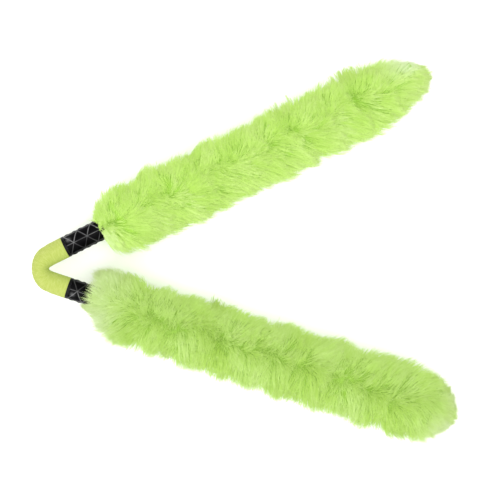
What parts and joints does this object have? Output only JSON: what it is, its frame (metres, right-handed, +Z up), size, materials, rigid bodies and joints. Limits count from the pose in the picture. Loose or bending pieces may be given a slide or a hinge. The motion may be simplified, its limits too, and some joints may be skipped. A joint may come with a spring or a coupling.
{
  "type": "folding devil stick",
  "caption": "Folding juggling stick: long-pile furry batons with ribbed black grips, joined end to end by a padded cord link that bends and swivels.",
  "frame": {"origin": "centre of the part's footprint on the floor, with both batons lying on their pile", "axes": "+X along the line halfway between the two batons, away from the link; +Y towards baton a; +Z up from the floor"},
  "size_m": [0.4646, 0.4266, 0.077],
  "materials": {
    "pile": "matte",
    "fur_backing": "matte",
    "knit": "matte",
    "rubber_grip": "satin",
    "black_plastic": "satin",
    "tube_plastic": "matte",
    "foam": "matte",
    "washer_steel": "satin",
    "cord_braid": "matte",
    "elastic": "matte"
  },
  "bodies": {
    "baton_a": {"baton_tube_a": "tube_plastic", "foam_sleeve_a": "foam", "grip_a": "rubber_grip", "end_plug_a": "black_plastic", "thrust_washer_a": "washer_steel", "tip_bumper_a": "foam", "fur_lining_a": "fur_backing", "hem_band_a": "elastic", "fur_cover_a": "pile"},
    "cord_end_a": {"cord_leg_a": "cord_braid", "cord_knot_a": "cord_braid", "cuff_a": "black_plastic", "link_padding_a": "foam", "link_cover_a": "knit"},
    "cord_bend_a": {"cord_joint_a": "cord_braid"},
    "link_middle": {"cord_joint_mid": "cord_braid", "link_padding_bend": "foam", "link_cover_bend": "knit"},
    "cord_bend_b": {"cord_joint_b": "cord_braid"},
    "cord_end_b": {"cord_leg_b": "cord_braid", "cord_knot_b": "cord_braid", "cuff_b": "black_plastic", "link_padding_b": "foam", "link_cover_b": "knit"},
    "baton_b": {"baton_tube_b": "tube_plastic", "foam_sleeve_b": "foam", "grip_b": "rubber_grip", "end_plug_b": "black_plastic", "thrust_washer_b": "washer_steel", "tip_bumper_b": "foam", "fur_lining_b": "fur_backing", "hem_band_b": "elastic", "fur_cover_b": "pile"}
  },
  "joints": [
    {"name": "swivel_a", "type": "hinge", "parent": "baton_a", "child": "cord_end_a", "pos_m": [-0.19203, 0.02313, 0.036], "axis": [-0.9245, -0.3811, 0], "continuous": true},
    {"name": "link_bend_1", "type": "hinge", "parent": "cord_end_a", "child": "cord_bend_a", "pos_m": [-0.21636, 0.0131, 0.036], "axis": [0, 0, -1], "range_deg": [-1.5, 69.1], "deforming": ["link_padding_bend", "link_cover_bend"]},
    {"name": "link_bend_2", "type": "hinge", "parent": "cord_bend_a", "child": "link_middle", "pos_m": [-0.22184, 0.00492, 0.036], "axis": [0, 0, -1], "range_deg": [-1.5, 69.1], "deforming": ["link_padding_bend", "link_cover_bend"]},
    {"name": "link_bend_3", "type": "hinge", "parent": "link_middle", "child": "cord_bend_b", "pos_m": [-0.22184, -0.00492, 0.036], "axis": [0, 0, -1], "range_deg": [-1.5, 69.1], "deforming": ["link_padding_bend", "link_cover_bend"]},
    {"name": "link_bend_4", "type": "hinge", "parent": "cord_bend_b", "child": "cord_end_b", "pos_m": [-0.21636, -0.0131, 0.036], "axis": [0, 0, -1], "range_deg": [-1.5, 69.1], "deforming": ["link_padding_bend", "link_cover_bend"]},
    {"name": "swivel_b", "type": "hinge", "parent": "cord_end_b", "child": "baton_b", "pos_m": [-0.19203, -0.02313, 0.036], "axis": [0.9245, -0.3811, 0], "continuous": true}
  ]
}
